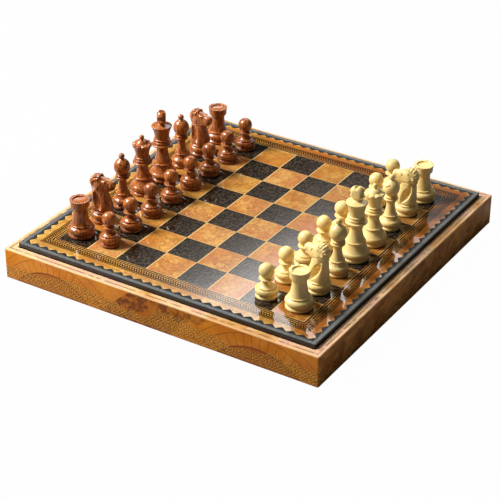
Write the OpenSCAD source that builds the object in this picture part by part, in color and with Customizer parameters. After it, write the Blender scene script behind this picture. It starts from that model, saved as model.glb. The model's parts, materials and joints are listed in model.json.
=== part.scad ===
// Games compendium: a wrapped wooden case whose lift-off lid is a chessboard set out for play.
// Origin at the centre of the underside. +X runs along the front, +Y to the back, +Z up.

/* [Case] */
// Outer width and depth of the square case
case_w = 350; // [346:1:420]
// Height of the case's rim
case_h = 32.3; // [31.5:0.1:45]
// Thickness of each mitred wall
wall_t = 8; // [6:0.5:9]
// Thickness of the printed wrap glued over the walls
wrap_t = 0.6; // [0.4:0.1:1]
// Radius of the wrapped upright corners
corner_r = 1.6; // [1.2:0.1:3]
// Thickness of the base board let in between the walls
base_t = 2.6; // [2:0.1:3.2]
// Thickness of the black lining under the case
lining_t = 0.4; // [0.3:0.1:0.8]
// How far the black lining stops short of the case's edge
lining_inset = 1; // [0.5:0.1:3]
// Thickness of the felt on the floor
felt_t = 0.5; // [0.4:0.1:1]
// Thickness of the ledge strips that carry the board
ledge_t = 4; // [3:0.5:6]

/* [Board] */
// How far the board stands above the rim
board_rise = 4.1; // [3.5:0.1:6]
// Thickness of the board's wooden panel
panel_t = 3.8; // [3:0.1:4]
// Thickness of the printed face sheet
face_t = 0.8; // [0.7:0.1:1]
// Depth of the pockets in the face sheet that take the dark squares
pocket_d = 0.5; // [0.4:0.05:0.6]
// Thickness of the paper under the panel
backing_t = 0.3; // [0.2:0.1:0.5]
// Thickness of the black band round the panel's edge
edge_t = 0.8; // [0.5:0.1:1.5]
// Gap between the board and the wrapped walls
board_gap = 0.7; // [0.4:0.1:1.2]
// Side of one square
square_w = 34.5; // [33:0.1:35.5]
// How far the dark squares lie below the light ones
deboss = 0.15; // [0.1:0.05:0.3]
// Thickness of the scalloped leather border
border_t = 0.2; // [0.2:0.05:0.4]
// Width of the scalloped border, from the edge to the tips of its lobes
border_w = 8.5; // [6:0.1:12]
// Number of scallops along each side
scallops = 29; // [20:1:36]
// Height of the strips under the lid that hold it in place
locator_h = 5; // [3:0.5:8]
// Thickness of the strips under the lid
locator_t = 3; // [2:0.5:5]

/* [Chessmen] */
// Height of the king
king_h = 77; // [70:0.5:84]
// Widest diameter of the king's foot
king_d = 27.6; // [24:0.2:29]
// Height of the queen
queen_h = 64; // [58:0.5:70]
// Widest diameter of the queen's foot
queen_d = 27; // [24:0.2:29]
// Height of a bishop
bishop_h = 58.5; // [52:0.5:64]
// Widest diameter of a bishop's foot
bishop_d = 21.6; // [19:0.2:26]
// Height of a knight
knight_h = 50; // [45:0.5:55]
// Widest diameter of a knight's foot
knight_d = 23.8; // [21:0.2:26]
// Height of a rook
rook_h = 39.3; // [35:0.1:44]
// Widest diameter of a rook's foot
rook_d = 26.4; // [23:0.2:28]
// Height of a pawn
pawn_h = 34.8; // [31:0.1:39]
// Widest diameter of a pawn's foot
pawn_d = 21.8; // [19:0.2:25]
// Thickness of the felt under each man
man_felt_t = 0.8; // [0.5:0.1:1.5]

/* [Compartments] */
// Width of the long troughs for the chessmen
trough_w = 100; // [90:1:101]
// Thickness of the long partitions
partition_t = 4; // [3:0.5:5]
// Thickness of the short dividers
divider_t = 3; // [2:0.5:4]
// Depth of the dice well, front to back
dice_well = 28; // [24:0.5:30]
// Room for the fingers in front of each pack of cards
finger_w = 22; // [16:1:30]
// Radius of the thumb notches in the dividers
thumb_r = 9; // [7:0.5:12]

/* [Games] */
// Diameter of a draught
draught_d = 26.4; // [24:0.2:27]
// Thickness of a draught
draught_t = 7.6; // [6:0.1:7.7]
// Length of a domino
domino_l = 48; // [44:0.5:49]
// Width of a domino
domino_w = 24; // [20:0.5:26]
// Thickness of a domino
domino_t = 8; // [6:0.1:8.1]
// Length of a playing card
card_l = 88.9; // [80:0.1:92]
// Width of a playing card
card_w = 63.5; // [56:0.1:64.5]
// Height of a pack of cards
pack_h = 17; // [12:0.5:20]
// Side of a die
die_w = 16; // [12:0.5:18]

/* [Hidden] */
$fn = 72;
SQUARES = 8;
DRAUGHTS = 15;
DOMINOES = 28;
DICE = 5;
fit_gap = 0.1;        // between pieces that are glued or slid in
lid_gap = 0.3;        // between the partitions and the lid
locator_gap = 0.6;    // between the locating strips and the ledge
well_gap = 0.5;       // round a game piece in its well
over = 1;             // how far a cutter runs past what it cuts

wall_out = case_w - 2 * wrap_t;
wall_in = wall_out - 2 * wall_t;
inner_w = wall_in - 2 * ledge_t;
board_w = wall_in - 2 * wrap_t - 2 * board_gap;
panel_w = board_w - 2 * edge_t;

base_z = lining_t;
base_top = base_z + base_t;
floor_z = base_top + felt_t;
board_top = case_h + board_rise;
face_top = board_top - border_t;
panel_top = face_top - face_t;
panel_z = panel_top - panel_t;
lid_z = panel_z - backing_t;
divider_top = lid_z - lid_gap;

partition_x = inner_w / 2 - trough_w - partition_t;   // inner face of each partition
bay_w = 2 * partition_x;
trough_x = (inner_w - trough_w) / 2;                  // middle of each trough
draught_well = draught_d + 2 * well_gap;
domino_well = 2 * domino_l + 3 * well_gap;
// front faces of the short dividers, from the front of the bay
divider_y = [
    -inner_w / 2 + dice_well,
    -inner_w / 2 + dice_well + divider_t + draught_well,
    -inner_w / 2 + dice_well + 2 * (divider_t + draught_well),
    -inner_w / 2 + dice_well + 2 * (divider_t + draught_well) + divider_t + domino_well
];
card_well = finger_w + card_w + well_gap;
card_divider_y = inner_w / 2 - card_well - divider_t;

// how far each side's men stand off the middle of their squares
dark_stand = [-3.5, 2];
light_stand = [0.5, 2];

// each side's men: name, kind, file (left to right), rank (front to back), turn about the axis
BACK_ROW = ["rook", "knight", "bishop", "queen", "king", "bishop", "knight", "rook"];
function light_kind(j) = j == 3 ? "king" : j == 4 ? "queen" : BACK_ROW[j];
function numbered(kind, j) =
    kind == "king" || kind == "queen" ? kind : str(kind, "_", j < 4 ? 1 : 2);
DARK_TURN = [90, 6, 0, 0, 122, 120, -8, 20];
LIGHT_TURN = [0, 172, 122, 2, 0, 212, 186, 30];
MEN = concat(
    [for (j = [0:7]) [str("dark_", numbered(BACK_ROW[j], j)), BACK_ROW[j], 0, j, DARK_TURN[j]]],
    [for (j = [0:7]) [str("dark_pawn_", j + 1), "pawn", 1, j, 0]],
    [for (j = [0:7]) [str("light_", numbered(light_kind(j), j)), light_kind(j), 7, j, LIGHT_TURN[j]]],
    [for (j = [0:7]) [str("light_pawn_", j + 1), "pawn", 6, j, 0]]
);
CASE_NODES = [
    "base_lining", "base_panel", "wall_front", "wall_back", "wall_left", "wall_right", "case_wrap",
    "ledge_strips", "felt_floor", "partition_left", "partition_right", "short_dividers",
    "draughts_dark", "draughts_light", "dominoes", "card_pack_red", "card_pack_blue", "dice",
    "board_panel", "board_backing", "board_edge_band", "board_face", "dark_squares",
    "scalloped_border", "locating_strips"
];

wood_dark = "saddlebrown";
wood_light = "wheat";

// ---- shared shapes ----

// a square plate or prism, centred, standing on z
module plate(w, t, z) {
    translate([-w / 2, -w / 2, z]) cube([w, w, t]);
}

// a square with rounded corners, as a flat outline
module soft_square(w, r) {
    square([w, w - 2 * r], center = true);
    square([w - 2 * r, w], center = true);
    for (x = [-1, 1], y = [-1, 1])
        translate([x * (w / 2 - r), y * (w / 2 - r)]) circle(r);
}

// four strips that form a square ring, each its own solid
module strip_ring(outer, t, z, h) {
    for (s = [-1, 1]) {
        translate([-outer / 2, s * (outer - t) / 2 - t / 2, z]) cube([outer, t, h]);
        translate([s * (outer - t) / 2 - t / 2, -outer / 2 + t + fit_gap, z])
            cube([t, outer - 2 * t - 2 * fit_gap, h]);
    }
}

// ---- case ----

module base_lining() {
    color("black")
        linear_extrude(lining_t) soft_square(case_w - 2 * lining_inset, corner_r);
}

module base_panel() {
    color("burlywood") plate(wall_in, base_t, base_z);
}

// one wall, mitred at both ends, along the front; the others are turned copies
module wall(turn) {
    color("tan") rotate(turn) translate([0, 0, base_z])
        linear_extrude(case_h - wrap_t - base_z) intersection() {
            soft_square(wall_out, corner_r - wrap_t);
            polygon([
                [-wall_out / 2, -wall_out / 2], [wall_out / 2, -wall_out / 2],
                [wall_in / 2, -wall_in / 2], [-wall_in / 2, -wall_in / 2]
            ]);
        }
}

// printed leathercloth: up the outside, over the rim and down inside to the ledge
module case_wrap() {
    color("goldenrod") {
        difference() {
            translate([0, 0, base_z]) linear_extrude(case_h - base_z) soft_square(case_w, corner_r);
            translate([0, 0, base_z - over]) linear_extrude(case_h - wrap_t - base_z + over)
                soft_square(wall_out, corner_r - wrap_t);
            plate(wall_in - 2 * wrap_t, case_h, base_z);
        }
        difference() {
            plate(wall_in, case_h - wrap_t - lid_z, lid_z);
            plate(wall_in - 2 * wrap_t, case_h, lid_z - over);
        }
    }
}

// strips glued inside the walls; the board rests on their top
module ledge_strips() {
    color("burlywood") strip_ring(wall_in, ledge_t, base_top, lid_z - base_top);
}

module felt_floor() {
    color("darkolivegreen") plate(inner_w - 2 * fit_gap, felt_t, base_top);
}

// cutter: the room along the ledge that the lid's locating strips drop into
module locator_room() {
    reach = locator_gap + locator_t + locator_gap;
    notch_z = lid_z - locator_h - locator_gap;
    difference() {
        plate(inner_w, case_h, notch_z);
        plate(inner_w - 2 * reach, case_h + 2 * over, notch_z - over);
    }
}

module partition(side) {
    x0 = side > 0 ? partition_x : -partition_x - partition_t;
    color("burlywood") difference() {
        translate([x0, -inner_w / 2 + fit_gap, floor_z])
            cube([partition_t, inner_w - 2 * fit_gap, divider_top - floor_z]);
        locator_room();
    }
}

// a short divider across a space of width w round x, with a thumb notch
module divider(x, w, y) {
    difference() {
        translate([x - w / 2 + fit_gap, y, floor_z])
            cube([w - 2 * fit_gap, divider_t, divider_top - floor_z]);
        translate([x, y - over, divider_top]) rotate([-90, 0, 0])
            cylinder(r = thumb_r, h = divider_t + 2 * over);
        locator_room();
    }
}

// four across the middle bay, and one across the back of each trough
module short_dividers() {
    color("burlywood") {
        for (y = divider_y) divider(0, bay_w, y);
        for (side = [-1, 1]) divider(side * trough_x, trough_w, card_divider_y);
    }
}

// ---- the games in the wells ----

// how many pieces of a set stand side by side across the middle bay
function fitting(set, pitch) = min(set, floor((bay_w - fit_gap) / pitch));

// half the outline of a draught: dished middle, ring groove and raised rim
function draught_half(r, t) = [
    [0, t / 2 - 0.9], [r * 0.5, t / 2 - 0.6], [r * 0.55, t / 2 - 0.1], [r * 0.72, t / 2 - 0.1],
    [r * 0.77, t / 2 - 0.7], [r * 0.83, t / 2 - 0.7], [r * 0.87, t / 2], [r - 0.8, t / 2],
    [r, t / 2 - 0.8]
];

// a flat outline and its mirror image below the axis, as one closed loop
function mirrored(half) = concat(half, [for (k = [len(half) - 1:-1:0]) [half[k][0], -half[k][1]]]);

module draught() {
    rotate([0, 90, 0]) rotate_extrude() polygon(mirrored(draught_half(draught_d / 2, draught_t)));
}

// a roll of draughts on edge in its well; row 0 is the well nearer the front
module draught_roll(row) {
    pitch = draught_t + fit_gap;
    count = fitting(DRAUGHTS, pitch);
    y = divider_y[row] + divider_t + draught_well / 2;
    for (k = [0:count - 1])
        translate([(k - (count - 1) / 2) * pitch, y, floor_z + draught_d / 2]) draught();
}

// a tile on edge with softened corners and the groove across its face
module domino() {
    bevel = 1.2;
    groove = 0.8;
    difference() {
        rotate([90, 0, 90]) linear_extrude(domino_t, center = true) polygon([
            [-domino_l / 2 + bevel, 0], [domino_l / 2 - bevel, 0], [domino_l / 2, bevel],
            [domino_l / 2, domino_w - bevel], [domino_l / 2 - bevel, domino_w],
            [-domino_l / 2 + bevel, domino_w], [-domino_l / 2, domino_w - bevel], [-domino_l / 2, bevel]
        ]);
        translate([domino_t / 2 - groove / 2, -groove / 2, -over])
            cube([groove, groove, domino_w + 2 * over]);
    }
}

// two ranks of tiles on edge, face to back
module dominoes() {
    pitch = domino_t + fit_gap;
    each_row = fitting(DOMINOES / 2, pitch);
    y0 = divider_y[2] + divider_t + well_gap + domino_l / 2;
    color("ivory") for (row = [0, 1], k = [0:each_row - 1])
        translate([(k - (each_row - 1) / 2) * pitch, y0 + row * (domino_l + well_gap), floor_z])
            domino();
}

// a pack of cards with rounded corners, lying across the back end of a trough
module card_pack(side) {
    card_r = 3.5;
    y = inner_w / 2 - well_gap - card_w / 2;
    translate([side * trough_x, y, floor_z]) linear_extrude(pack_h) {
        square([card_l, card_w - 2 * card_r], center = true);
        square([card_l - 2 * card_r, card_w], center = true);
        for (x = [-1, 1], y = [-1, 1])
            translate([x * (card_l / 2 - card_r), y * (card_w / 2 - card_r)]) circle(card_r);
    }
}

// dice: cubes whose corners are rounded off by a ball
module dice() {
    y = -inner_w / 2 + dice_well / 2;
    count = fitting(DICE, die_w * sqrt(2));
    pitch = (bay_w - 2 * well_gap) / count;
    color("ivory") for (k = [0:count - 1])
        translate([(k - (count - 1) / 2) * pitch, y + (k % 2 - 0.5) * 3, floor_z + die_w / 2])
            rotate(12 * (k - 2)) intersection() {
                cube(die_w, center = true);
                sphere(r = die_w * 0.72);
            }
}

// ---- the lid ----

module board_panel() {
    color("burlywood") plate(panel_w, panel_t, panel_z);
}

module board_backing() {
    color("dimgray") plate(panel_w, backing_t, lid_z);
}

// black band round the edge of panel, backing and face sheet
module board_edge_band() {
    color("black") difference() {
        plate(board_w, face_top - lid_z, lid_z);
        plate(panel_w, case_h, lid_z - over);
    }
}

function is_dark(i, j) = (i + j) % 2 == 0;
function square_x(i) = (i - (SQUARES - 1) / 2) * square_w;

// embossed face sheet: pockets for the dark squares
module board_face() {
    color("chocolate") difference() {
        plate(panel_w, face_t, panel_top);
        for (i = [0:SQUARES - 1], j = [0:SQUARES - 1]) if (is_dark(i, j))
            translate([square_x(i), square_x(j), 0])
                plate(square_w - 2 * fit_gap, face_t, face_top - pocket_d);
    }
}

// grained leather squares sunk in the pockets
module dark_squares() {
    color([0.12, 0.12, 0.12]) for (i = [0:SQUARES - 1], j = [0:SQUARES - 1]) if (is_dark(i, j))
        translate([square_x(i), square_x(j), 0])
            plate(square_w - 4 * fit_gap, pocket_d - deboss, face_top - pocket_d);
}

// leather border whose inner edge is a row of round lobes that meet in cusps
module scalloped_border() {
    pitch = board_w / scallops;
    lobe_r = min(pitch * 0.54, border_w * 0.8);
    lobe_y = -board_w / 2 + border_w - lobe_r;
    color([0.22, 0.23, 0.23]) translate([0, 0, face_top]) linear_extrude(border_t) intersection() {
        square(board_w, center = true);
        union() {
            difference() {
                square(board_w, center = true);
                square(board_w - 2 * (border_w - lobe_r), center = true);
            }
            for (turn = [0:90:270], k = [1:scallops - 2]) rotate(turn)
                translate([(k - (scallops - 1) / 2) * pitch, lobe_y]) circle(lobe_r);
        }
    }
}

// strips under the lid that drop inside the ledge and keep the board from sliding
module locating_strips() {
    color("burlywood")
        strip_ring(inner_w - 2 * locator_gap, locator_t, lid_z - locator_h, locator_h);
}

// ---- chessmen ----

// points along an arc, for mouldings
function arc(r, z, radius, from, to, steps = 6) = [
    for (k = [0:steps]) let (a = from + (to - from) * k / steps)
        [r + radius * cos(a), z + radius * sin(a)]
];
// a round bead that reaches r at height z
function bead(r, z, half) = arc(r - half, z, half, -90, 90);
// a curve from a to b that is drawn towards the corner c
function sweep(a, c, b, steps = 7) = [
    for (k = [0:steps]) let (t = k / steps)
        (1 - t) * (1 - t) * a + 2 * t * (1 - t) * c + t * t * b
];

// the moulded foot that all men share: felt, lip, groove, swelling
function foot(r) = concat(
    [[0, 0], [r - 1.2, 0], [r - 1.2, man_felt_t], [r - 0.5, man_felt_t]],
    arc(r - 1.5, man_felt_t + 1.3, 1.2, -50, 60, 4),
    [[r - 1.4, man_felt_t + 3.2]],
    arc(r - 3.6, man_felt_t + 6.6, 3.6, -60, 55, 7)
);

// an outline stretched to a man's own height and widest diameter
module turned(outline, h, d) {
    reach = max([for (p = outline) p[0]]);
    top = max([for (p = outline) p[1]]);
    rotate_extrude() polygon([for (p = outline) [p[0] * d / 2 / reach, p[1] * h / top]]);
}

KING = concat(
    foot(13.8),
    sweep([12.2, 10.6], [10.2, 13.4], [9.2, 18.2]),
    bead(9.9, 19.3, 0.9),
    sweep([8.9, 20.4], [6.4, 26], [5.8, 33]),
    sweep([5.8, 33], [6, 37], [7.4, 38.4], 4),
    bead(10.6, 39.8, 1.1),
    [[8, 41]], bead(9, 42.9, 1.2), [[7.4, 44.2]], bead(8.4, 45.6, 1.1),
    sweep([7.3, 46.9], [7.4, 53], [10, 59.2]),
    bead(10.5, 60, 0.7),
    sweep([9.4, 60.9], [5, 61.6], [3.2, 63.2], 5), [[2.6, 64.6], [0, 64.6]]
);
QUEEN = concat(
    foot(13.5),
    sweep([11.9, 10.6], [9.8, 13], [8.6, 16.6]),
    bead(9.3, 17.6, 0.9),
    sweep([8.3, 18.6], [5.8, 23], [5.3, 28.6]),
    sweep([5.3, 28.6], [5.6, 32], [7, 33.2], 4),
    bead(10, 34.5, 1.1),
    [[7.6, 35.7]], bead(8.6, 37.4, 1.1), [[7, 38.6]], bead(7.8, 39.8, 1),
    sweep([6.7, 41], [6.8, 46], [8.8, 51.4]),
    [[9.9, 52.4], [10, 54.6], [9.2, 55]],
    arc(0.4, 52.4, 6.9, 28, 62, 5), [[2.2, 58.8], [1.8, 60.2]],
    arc(0, 61.6, 2.4, -38, 90, 6)
);
BISHOP = concat(
    foot(10.8),
    sweep([9.1, 10.4], [7.4, 11.8], [6.7, 14.2]),
    bead(7.4, 15.2, 0.8),
    sweep([6.5, 16.2], [4.4, 20], [4.1, 27]),
    sweep([4.1, 27], [4.3, 30.6], [5.2, 31.6], 4),
    bead(7.2, 32.8, 1), [[5, 33.9]], bead(6.6, 35.5, 0.9), [[4.7, 36.6]],
    sweep([4.6, 37.6], [8.2, 39], [8.2, 44.4], 6),
    sweep([8.2, 44.4], [8, 49.6], [2.6, 52.6], 6),
    [[1.9, 53.2]], arc(0, 55.6, 3, -52, 90, 7)
);
ROOK = concat(
    foot(13.2),
    [[11, 11]], bead(10.4, 12.4, 0.8),
    sweep([9.4, 13.5], [7.1, 19], [6.9, 27.6]),
    sweep([6.9, 27.6], [7.2, 31], [8.6, 31.8], 4), [[9.2, 32], [9.2, 33.2]],
    sweep([9.2, 33.2], [9.3, 36], [9.9, 39.3], 4),
    [[7.6, 39.3], [7.2, 35.4], [0, 35.4]]
);
PAWN = concat(
    foot(10.9),
    [[8.7, 9.8]], bead(8.4, 11, 0.7),
    sweep([7.3, 11.9], [4.4, 13.4], [3.8, 17.6]),
    [[4, 18.2], [6.4, 18.9]], bead(7.2, 19.7, 0.6), [[4.2, 20.8], [3.9, 21.4]],
    arc(0, 27.8, 7, -60, 90, 12)
);
KNIGHT_FOOT = concat(
    foot(11.9),
    [[9.8, 10.6]], bead(10.2, 11.6, 0.7), [[9.2, 12.4], [8.6, 13.2], [0, 13.2]]
);

// the king's finial: a disc on edge, notched round its rim into four flared arms
module finial(h) {
    r = 7.3;
    translate([0, 0, h - r]) difference() {
        rotate([90, 0, 0]) rotate_extrude() polygon([
            [0, -4.4], [4.6, -4.4], [r - 0.6, -2.8], [r, 0], [r - 0.6, 2.8], [4.6, 4.4], [0, 4.4]
        ]);
        for (a = [45:90:315]) rotate([0, a, 0]) translate([0, 0, r]) rotate([90, 0, 0])
            cylinder(r = 2.4, h = 12, center = true);
    }
}

module king() {
    cap_h = king_h - 12.4;
    turned(KING, cap_h, king_d);
    finial(king_h);
}

// the coronet's rim is cut into round scallops
module queen() {
    scale_z = queen_h / 64;
    difference() {
        turned(QUEEN, queen_h, queen_d);
        for (a = [20:40:340]) rotate(a) translate([9.6, 0, 56 * scale_z]) rotate([0, 90, 0])
            cylinder(r = 1.9, h = 6, center = true);
    }
}

// the mitre's slanting cleft
module bishop() {
    scale_z = bishop_h / 58.6;
    difference() {
        turned(BISHOP, bishop_h, bishop_d);
        translate([5.4, 0, 47 * scale_z]) rotate([0, 32, 0]) cube([8, 20, 1.3], center = true);
    }
}

// battlements: shallow V cuts across the rim
module rook() {
    difference() {
        turned(ROOK, rook_h, rook_d);
        for (a = [0:60:120]) rotate(a) translate([0, 0, rook_h]) rotate([0, 90, 0])
            linear_extrude(40, center = true) polygon([[-1, -1.2], [-1, 1.2], [1.1, 0]]);
    }
}

module pawn() {
    turned(PAWN, pawn_h, pawn_d);
}

// ---- the horse: a squared neck under a level head, both lofted, then carved ----

// a number's power that keeps its sign
function signed_pow(v, e) = sign(v) * pow(abs(v), e);

// one squarish ring: centre, tilt of its plane, half depth, half width
function ring(x, z, tilt, deep, wide, n = 20) = [
    for (k = [0:n - 1]) let (
        a = 360 * k / n,
        u = deep * signed_pow(cos(a), 0.7),
        v = wide * signed_pow(sin(a), 0.7)
    ) [x + u * cos(tilt), v, z + u * sin(tilt)]
];

// skin a list of rings that have the same number of points
module loft(rings) {
    n = len(rings[0]);
    last = len(rings) - 1;
    points = [for (r = rings, p = r) p];
    sides = [
        for (s = [0:last - 1], k = [0:n - 1]) let (a = s * n + k, b = s * n + (k + 1) % n)
            each [[a, a + n, b], [b, a + n, b + n]]
    ];
    polyhedron(points, concat(
        [[for (k = [0:n - 1]) k]], sides, [[for (k = [n - 1:-1:0]) last * n + k]]
    ), convexity = 4);
}

// x, z, tilt, half depth, half width of each section
NECK = [
    [0.1, 12.6, 0, 9.4, 8.8], [0.3, 15.5, 0, 9.8, 8.8], [0.2, 20, 0, 9.6, 8.2],
    [-0.4, 25, 0, 8.9, 7.2], [-1.1, 30, 0, 8.2, 6.1], [-1.5, 34, 0, 7.8, 5.4], [-1.6, 38, 0, 7.6, 5]
];
HEAD = [
    [-10, 40, -90, 5.4, 3.4], [-9.2, 40.2, -90, 7.6, 4.6], [-6, 40.4, -90, 8.4, 5.4],
    [-2, 40.2, -91, 8.4, 5.8], [2, 39.8, -92, 7.8, 5.7], [6, 39.6, -94, 6.8, 5],
    [10, 39.7, -97, 5.8, 4.2], [13, 39.9, -100, 4.9, 3.9], [14.6, 40, -102, 3.4, 2.9]
];

function horse_ring(s, f) = ring(s[0] * f, s[1] * f, s[2], s[3] * f, s[4] * f);

// a pointed, leaf-shaped body of revolution, for the long cut in each side of the neck
module spindle(r, h) {
    bow = (h * h / 4 - r * r) / (2 * r);
    reach = asin(h / 2 / (bow + r));
    rotate_extrude() polygon([for (k = [-6:6]) let (a = reach * k / 6)
        [max(0, (bow + r) * cos(a) - bow), (bow + r) * sin(a)]]);
}

// ears on the poll, and locks of mane from there down the back of the head
module horse_crest() {
    for (side = [-1, 1]) translate([0.4, side * 2.7, 46]) rotate([side * -6, -8, 0])
        cylinder(r1 = 1.8, r2 = 0.6, h = 4);
    for (k = [0:4]) let (a = 84 + 24 * k)
        translate([-2.8 + 6.6 * cos(a), 0, 41.4 + 6.7 * sin(a)]) rotate([90, 0, 0])
            cylinder(r = 1.7, h = 5.4, center = true);
}

module knight() {
    f = knight_h / 50;
    turned(KNIGHT_FOOT, 13.2 * f, knight_d);
    difference() {
        union() {
            loft([for (s = NECK) horse_ring(s, f)]);
            loft([for (s = HEAD) horse_ring(s, f)]);
            scale(f) horse_crest();
        }
        scale(f) {
            for (side = [-1, 1]) {
                // the long leaf-shaped cut, the groove over the jaw, and the mouth
                translate([-1.8, side * 7.4, 24.2]) rotate([side * 8, -24, 0]) spindle(4, 21.5);
                translate([-3, side * 6.8, 36.6]) rotate([0, 84, side * -5]) spindle(1.9, 16);
                translate([13, side * 4.4, 38.2]) rotate([0, -10, 0]) cube([7, 3, 0.9], center = true);
            }
            // ribs across the mane
            for (z = [33.4, 36, 38.6]) translate([-11, 0, z]) rotate([90, 45, 0])
                cube([1.9, 1.9, 20], center = true);
        }
    }
}

module man(kind) {
    if (kind == "king") king();
    if (kind == "queen") queen();
    if (kind == "bishop") bishop();
    if (kind == "knight") knight();
    if (kind == "rook") rook();
    if (kind == "pawn") pawn();
}

// one man on its square, turned as it stands
module placed_man(m) {
    dark = m[2] < SQUARES / 2;
    stand = dark ? dark_stand : light_stand;
    z = is_dark(m[2], m[3]) ? face_top - deboss : face_top;
    color(dark ? wood_dark : wood_light)
        translate([square_x(m[2]) + stand[0], square_x(m[3]) + stand[1], z]) rotate(m[4]) man(m[1]);
}

base_lining();
base_panel();
wall(0);  // wall_front
wall(90);  // wall_right
wall(180);  // wall_back
wall(270);  // wall_left
case_wrap();
ledge_strips();
felt_floor();
partition(-1);  // partition_left
partition(1);  // partition_right
short_dividers();
color("saddlebrown") draught_roll(0);  // draughts_dark
color("wheat") draught_roll(1);  // draughts_light
dominoes();
color("firebrick") card_pack(-1);  // card_pack_red
color("midnightblue") card_pack(1);  // card_pack_blue
dice();
board_panel();
board_backing();
board_edge_band();
board_face();
dark_squares();
scalloped_border();
locating_strips();
for (m = MEN) placed_man(m);
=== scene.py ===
"""Looks of the games compendium: leathercloth case, chessboard lid, turned and carved chessmen."""

import json
from functools import partialmethod
from math import cos, degrees, hypot, pi, radians, sin, sqrt

import bpy
import numpy as np
from mathutils import Matrix, Vector


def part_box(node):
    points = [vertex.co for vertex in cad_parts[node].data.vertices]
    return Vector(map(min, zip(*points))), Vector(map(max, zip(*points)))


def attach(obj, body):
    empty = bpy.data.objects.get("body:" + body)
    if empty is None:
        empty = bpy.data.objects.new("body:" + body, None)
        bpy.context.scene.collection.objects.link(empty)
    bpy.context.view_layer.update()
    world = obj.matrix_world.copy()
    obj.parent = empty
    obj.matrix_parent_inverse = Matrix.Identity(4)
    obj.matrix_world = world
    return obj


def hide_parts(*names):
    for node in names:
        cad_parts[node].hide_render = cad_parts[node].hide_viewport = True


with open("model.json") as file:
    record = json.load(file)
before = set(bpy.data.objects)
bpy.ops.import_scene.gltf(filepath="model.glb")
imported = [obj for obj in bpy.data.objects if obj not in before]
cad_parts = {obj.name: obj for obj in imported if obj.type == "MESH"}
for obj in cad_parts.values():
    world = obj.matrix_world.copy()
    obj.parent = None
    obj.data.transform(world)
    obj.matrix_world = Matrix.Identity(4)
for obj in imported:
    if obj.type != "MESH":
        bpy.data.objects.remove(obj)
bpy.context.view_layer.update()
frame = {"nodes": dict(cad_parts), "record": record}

MM = 0.001
NODES = frame["nodes"]
MATERIALS = {}
SCENE = bpy.context.scene


# ------ sizes, from the frame, in mm

def node_box(name):
    """The low and high corners of a node, in mm."""
    low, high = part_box(name)
    return [v / MM for v in low], [v / MM for v in high]


CASE_LOW, CASE_HIGH = node_box("case_wrap")
BOARD_LOW, BOARD_HIGH = node_box("board_edge_band")
BORDER_TOP = node_box("scalloped_border")[1][2]
CASE_HALF = CASE_HIGH[0]
RIM_Z = CASE_HIGH[2]
BOARD_HALF = BOARD_HIGH[0]
FACE_Z = BOARD_HIGH[2]
LID_Z = BOARD_LOW[2]
SQUARES = 8
SQUARE = 34.5
FIELD_HALF = SQUARES * SQUARE / 2
# the border's teeth along one side, their depth, and the border's greatest width
SCALLOPS = 30
LOBE_DEPTH = 4.6
BORDER_W = 9.2
PITCH = 2 * BOARD_HALF / SCALLOPS


# ------ node helpers

class Nodes:
    """The node tree of a material or the world, with short calls for maths, noise and colour."""

    def __init__(self, owner):
        owner.use_nodes = True
        self.tree = owner.node_tree
        self.tree.nodes.clear()

    def feed(self, value, target):
        """Sets an input to a number or a colour, or links it; None leaves it as it is."""
        if isinstance(value, (int, float)):
            target.default_value = value
        elif isinstance(value, tuple):
            target.default_value = value if len(value) == len(target.default_value) else (*value, 1)
        elif value is not None:
            self.tree.links.new(value, target)

    def node(self, kind, *feeds, **settings):
        """A new node with its first inputs fed in order."""
        made = self.tree.nodes.new("ShaderNode" + kind)
        for key, value in settings.items():
            setattr(made, key, value)
        for value, target in zip(feeds, made.inputs):
            self.feed(value, target)
        return made

    def named(self, node, **feeds):
        """Feeds a node's inputs by name."""
        for key, value in feeds.items():
            self.feed(value, node.inputs[key.replace("_", " ")])
        return node

    def m(self, operation, *values):
        return self.node("Math", *values, operation=operation).outputs[0]

    add = partialmethod(m, "ADD")
    sub = partialmethod(m, "SUBTRACT")
    mul = partialmethod(m, "MULTIPLY")
    size = partialmethod(m, "ABSOLUTE")
    # the larger of two; and a zigzag from 0 up to a height and down again
    both = partialmethod(m, "MAXIMUM")
    zigzag = partialmethod(m, "PINGPONG")

    def length(self, a, b):
        return self.m("SQRT", self.add(self.mul(a, a), self.mul(b, b)))

    def less(self, a, b, soft=0.05):
        """1 where a is below b, with an edge that is soft on both sides."""
        return self.remap(a, b - soft, b + soft, 1, 0)

    def within(self, a, centre, half, soft=0.05):
        """1 where a lies within half of centre."""
        return self.less(self.size(self.sub(a, centre)), half, soft)

    def remap(self, value, from_low, from_high, to_low=0, to_high=1):
        limits = from_low, from_high, to_low, to_high
        return self.node("MapRange", value, *limits, clamp=True).outputs[0]

    def vector(self, x, y, z):
        return self.node("CombineXYZ", x, y, z).outputs[0]

    def split(self, vector):
        return self.node("SeparateXYZ", vector).outputs

    def mix(self, fac, a, b, blend="MIX"):
        skipped = [None] * 5
        return self.node("Mix", fac, *skipped, a, b, data_type="RGBA",
                         blend_type=blend).outputs[2]

    def ramp(self, fac, *stops):
        made = self.node("ValToRGB", fac)
        elements = made.color_ramp.elements
        while len(elements) < len(stops):
            elements.new(0.5)
        for element, (place, colour) in zip(elements, stops):
            element.position = place
            element.color = (*colour, 1)
        return made.outputs[0]


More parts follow.
